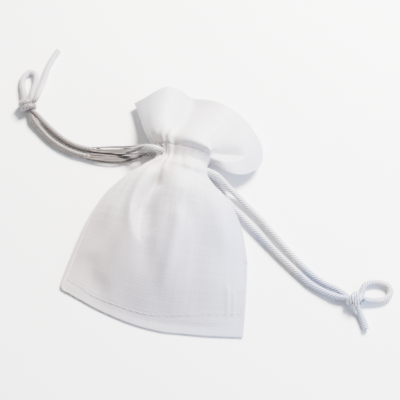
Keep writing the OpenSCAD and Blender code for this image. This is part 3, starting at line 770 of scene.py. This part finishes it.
def ruffle_leaf(front):
    """One leaf of the ruffle, from the casing up to its fold and back down inside."""
    v = np.linspace(0, 1, RUFFLE_ROWS)
    t = np.linspace(-1, 1, COLUMNS)
    edges = ruffle_edges[front]
    left = trace(edges["left"], v)
    right = trace(edges["right"], v)
    high = trace(edges["top"], (t + 1) / 2)
    low = neck_row(ruffle_low_y, t, front)
    left[0], right[0] = low[0], low[-1]
    outer = patch(left, right, low, high)
    up = v[:, None]
    beyond = np.broadcast_to(4.1 + up * 23, outer.shape[:2])
    folds = gathered(t[None, :] * (1 if front else -1), beyond, True) + handled(outer) * up
    if front:
        # Petals between the valleys, and the deep crease over the lowest petal on the right
        folds += neck_swell(t[None, :]) * (1 - ease(up / 0.5))
        folds += 1.6 * np.sin(math.pi * up) ** 1.5 * (1 - t[None, :] ** 2)
        folds += 3.0 * hill((t[None, :] + 0.60) / 0.20) * np.sin(math.pi * np.clip(up, 0, 1) * 0.85)
        folds -= 2.0 * hill((t[None, :] + 0.22) / 0.11) * ease((up - 0.15) / 0.4)
        folds += 1.4 * hill((t[None, :] - 0.14) / 0.20) * np.sin(math.pi * up * 0.8)
        crease = [(2.5, 28.8), (7.5, 30.6), (12.5, 33), (18.2, 36.8)]
        distance, side, share = lines_away(outer, crease)
        folds -= 4.2 * np.where(side > 0, hill(distance / 3.6), hill(distance / 0.9)) * (
            ease((share - 0.05) / 0.2) * ease((1 - share) / 0.4))
        ridge = [(-1, 46.6), (4, 47.4), (9, 46.8), (13, 45.2)]
        distance, side, share = lines_away(outer, ridge)
        folds += 0.35 * hill(distance / 0.8) * ease(share / 0.3) * ease((1 - share) / 0.3)
    else:
        folds += 0.8 * np.sin(5.2 * t[None, :] + 0.6) * up
    edge = ease((1 - np.abs(t)) / 0.05)[None, :]
    outer = push_out(outer, folds * edge, upward=front)
    # The cloth turns over in a small round fold and comes back down on the inside
    angles = np.linspace(0, math.pi, 7)[1:]
    ahead = outer[-1] - outer[-3]
    ahead /= np.linalg.norm(ahead, axis=1)[:, None]
    inner = push_out(outer, np.full(outer.shape[:2], -2 * turn_radius), upward=front)
    inward = inner[-1] - outer[-1]
    inward /= np.linalg.norm(inward, axis=1)[:, None] + 1e-12
    fold = np.stack([
        outer[-1] + turn_radius * (math.sin(a) * ahead + (1 - math.cos(a)) * inward) for a in angles[:-1]])
    return np.concatenate([outer, fold, inner[::-1]])


for front in (True, False):
    grid = ruffle_leaf(front)
    if not front:
        grid[:, :, 2] = np.maximum(grid[:, :, 2], 0.2)
    name = "front_ruffle_cloth" if front else "back_ruffle_cloth"
    piece = cloth_mesh(name, grid, (cut_width, 2 * header_cut), sheer_folded, upward=front)
    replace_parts(piece, "front_ruffle" if front else "back_ruffle")
    if front:
        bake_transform(piece)
    else:
        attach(piece, "bag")

# ---- The side seams and the bottom hem ----
# The two leaves are sewn together down the sides and along the bottom, then pressed flat. The
# cloth is folded round each edge: a narrow band down each side, and a wider one along the bottom.
SEAM_WIDTH = 1.5
BAND_LIFT = 0.10
FOLD_STEPS = 7
hem_line = [(-36, -25.2), (-28, -27.6), (-21.3, -29.8), (-4.5, -31.2), (6, -29.6), (17.3, -26.1), (34, -20.9)]


def folded_band(name, on_front, on_back):
    """Cloth folded round an edge. on_front holds one short line of points for each step along the
    edge, from the band's inner side out to the edge, and on_back runs back again underneath."""
    # The band's inner side is drawn flush by the stitches, so it shows as a change of tone, not a step
    sunk = ease(np.linspace(0, 1, on_front.shape[1]) / 0.45)[None, :]
    top = on_front.copy()
    top[:, :, 2] += BAND_LIFT * sunk - 0.16 * (1 - sunk)
    under = on_back.copy()
    under[:, :, 2] = np.maximum(under[:, :, 2] - BAND_LIFT, 0.07)
    outward = top[:, -1] - top[:, -3]
    outward[:, 2] = 0
    outward /= np.linalg.norm(outward, axis=1)[:, None] + 1e-12
    middle = (top[:, -1] + under[:, 0]) / 2
    half = (top[:, -1] - under[:, 0]) / 2
    reach = np.linalg.norm(half, axis=1)[:, None] * 0.8
    turn = np.stack([
        middle + math.cos(a) * half + math.sin(a) * reach * outward
        for a in np.linspace(0, math.pi, FOLD_STEPS)[1:-1]], axis=1)
    grid = np.concatenate([top, turn, under], axis=1)
    width = float(np.linalg.norm(np.diff(grid[len(grid) // 2], axis=0), axis=1).sum())
    length = float(np.linalg.norm(np.diff(on_front[:, -1], axis=0), axis=1).sum())
    band = cloth_mesh(name, grid, (width, length), sheer, thickness=0.16 * MM)
    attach(band, "bag")
    return band


def inward_from_edge(grid, reach, steps, flip):
    """Short lines of points on a leaf, from its side edge in to a distance, for each of its rows."""
    lines = []
    for row in (grid[:, ::-1] if flip else grid):
        run = np.concatenate([[0], np.cumsum(np.linalg.norm(np.diff(row, axis=0), axis=1))])
        at = np.linspace(0, reach, steps)
        lines.append(np.stack([np.interp(at, run, row[:, i]) for i in range(3)], axis=1))
    return np.array(lines)


def below_hem(grid, steps):
    """Lines of points on a leaf, from its bottom edge up to the hem's top line, for each column."""
    line = trace(hem_line, np.linspace(0, 1, 80))
    lines = []
    for j in range(grid.shape[1]):
        column = grid[:BAG_ROWS, j]
        over = column[:, 1] - np.interp(column[:, 0], line[:, 0], line[:, 1])
        top_row = float(np.interp(0, over[:60], np.arange(60)))
        at = np.linspace(0, top_row, steps)
        rows = np.arange(len(column))
        lines.append(np.stack([np.interp(at, rows, column[:, i]) for i in range(3)], axis=1))
    return np.array(lines)


stitch_lines = []
for side, flip in (("left", False), ("right", True)):
    on_front = inward_from_edge(front_grid[:BAG_ROWS - 6], SEAM_WIDTH, 6, flip)[:, ::-1]
    on_back = inward_from_edge(back_grid[:BAG_ROWS - 6], SEAM_WIDTH, 6, flip)
    band = folded_band(side + "_seam", on_front, on_back)
    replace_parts(band, side + "_side_seam")
    stitch_lines.append(on_front[8:, 1] + np.array([0, 0, BAND_LIFT]))
on_front = below_hem(front_grid, 14)[:, ::-1]
hem = folded_band("bottom_hem", on_front, below_hem(back_grid, 10))
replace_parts(hem, "bottom_seam")
stitch_lines.append(on_front[3:-3, 1] + np.array([0, 0, BAND_LIFT]))


# ---- The stitching ----
# White polyester thread, lockstitched: one row down each seam and along the hem, and a row at
# each edge of the casing. Each stitch is a short, rounded length of thread that dips at its ends.
STITCH = 1.8
STITCH_PITCH = 2.6
THREAD = 0.22

thread, tree, output = new_material("white_polyester_thread")
place = add(tree, "ShaderNodeTexCoord")
twist = add(tree, "ShaderNodeTexWave", {
    "Vector": place.outputs["Object"], "Scale": 900.0, "Distortion": 1.5}, bands_direction="DIAGONAL")
twisted = mix_colours(tree, twist.outputs["Fac"], linear("#B3AFB4"), linear("#C9C6CB"))
ply = add(tree, "ShaderNodeBump", {"Height": twist.outputs["Fac"], "Strength": 0.3, "Distance": 0.00005})
sewn = add(tree, "ShaderNodeBsdfPrincipled", {
    "Base Color": twisted, "Roughness": 0.5, "Sheen Weight": 0.2, "Normal": ply.outputs["Normal"]})
tree.links.new(sewn.outputs["BSDF"], output.inputs["Surface"])

bpy.ops.object.select_all(action="DESELECT")
bpy.ops.mesh.primitive_uv_sphere_add(segments=8, ring_count=6, radius=0.5)
pattern = bpy.context.object
stitch_shape = np.array([v.co[:] for v in pattern.data.vertices]) * np.array([THREAD, STITCH, THREAD])
# The middle of a stitch stands up a little and its ends go down into the cloth
stitch_shape[:, 2] += THREAD * 0.35 * (1 - (stitch_shape[:, 1] / (STITCH / 2)) ** 2) - THREAD * 0.35
stitch_faces = [list(p.vertices) for p in pattern.data.polygons]
bpy.data.objects.remove(pattern, do_unlink=True)


def stitching(name, lines):
    """Rows of separate stitches along lines, in millimetres, each with its own way up."""
    points, faces = [], []
    for line, way_up in lines:
        step = max(1, int(np.linalg.norm(np.diff(line, axis=0), axis=1).sum() / STITCH_PITCH))
        middles = trace(line, (np.arange(step) + 0.5) / step)
        aheads = trace(line, np.clip((np.arange(step) + 0.6) / step, 0, 1)) - middles
        for middle, ahead in zip(middles, aheads):
            ahead = ahead / (np.linalg.norm(ahead) + 1e-12)
            up = np.array(way_up(middle), float)
            across = np.cross(ahead, up)
            across /= np.linalg.norm(across) + 1e-12
            up = np.cross(across, ahead)
            first = len(points)
            points.extend(middle + p[0] * across + p[1] * ahead + p[2] * up for p in stitch_shape)
            faces.extend([first + i for i in f] for f in stitch_faces)
    mesh = bpy.data.meshes.new(name)
    points = np.array(points) * MM
    points[:, 2] = np.maximum(points[:, 2], 0.05 * MM)
    mesh.from_pydata(points.tolist(), [], faces)
    mesh.polygons.foreach_set("use_smooth", [True] * len(mesh.polygons))
    mesh.materials.append(thread)
    rows = bpy.data.objects.new(name, mesh)
    bpy.context.collection.objects.link(rows)
    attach(rows, "bag")
    return rows


def flat_up(middle):
    """Straight up, as on the flat edges."""
    return (0, 0, 1)


def out_of_neck(middle):
    """Out from the middle of the neck."""
    return (middle[0] - neck_x, 0, middle[2] - neck_z)


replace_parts(stitching("seam_stitches", [(line, flat_up) for line in stitch_lines]), "seam_stitching")
for node, row in (
    ("lower_casing_stitching", BAG_ROWS + 1),
    ("upper_casing_stitching", BAG_ROWS + CASING_ROWS - 4),
):
    name = node.replace("stitching", "stitches")
    rows = stitching(name, [(leaf[row, 6:-6], out_of_neck) for leaf in (front_grid, back_grid)])
    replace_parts(rows, node)
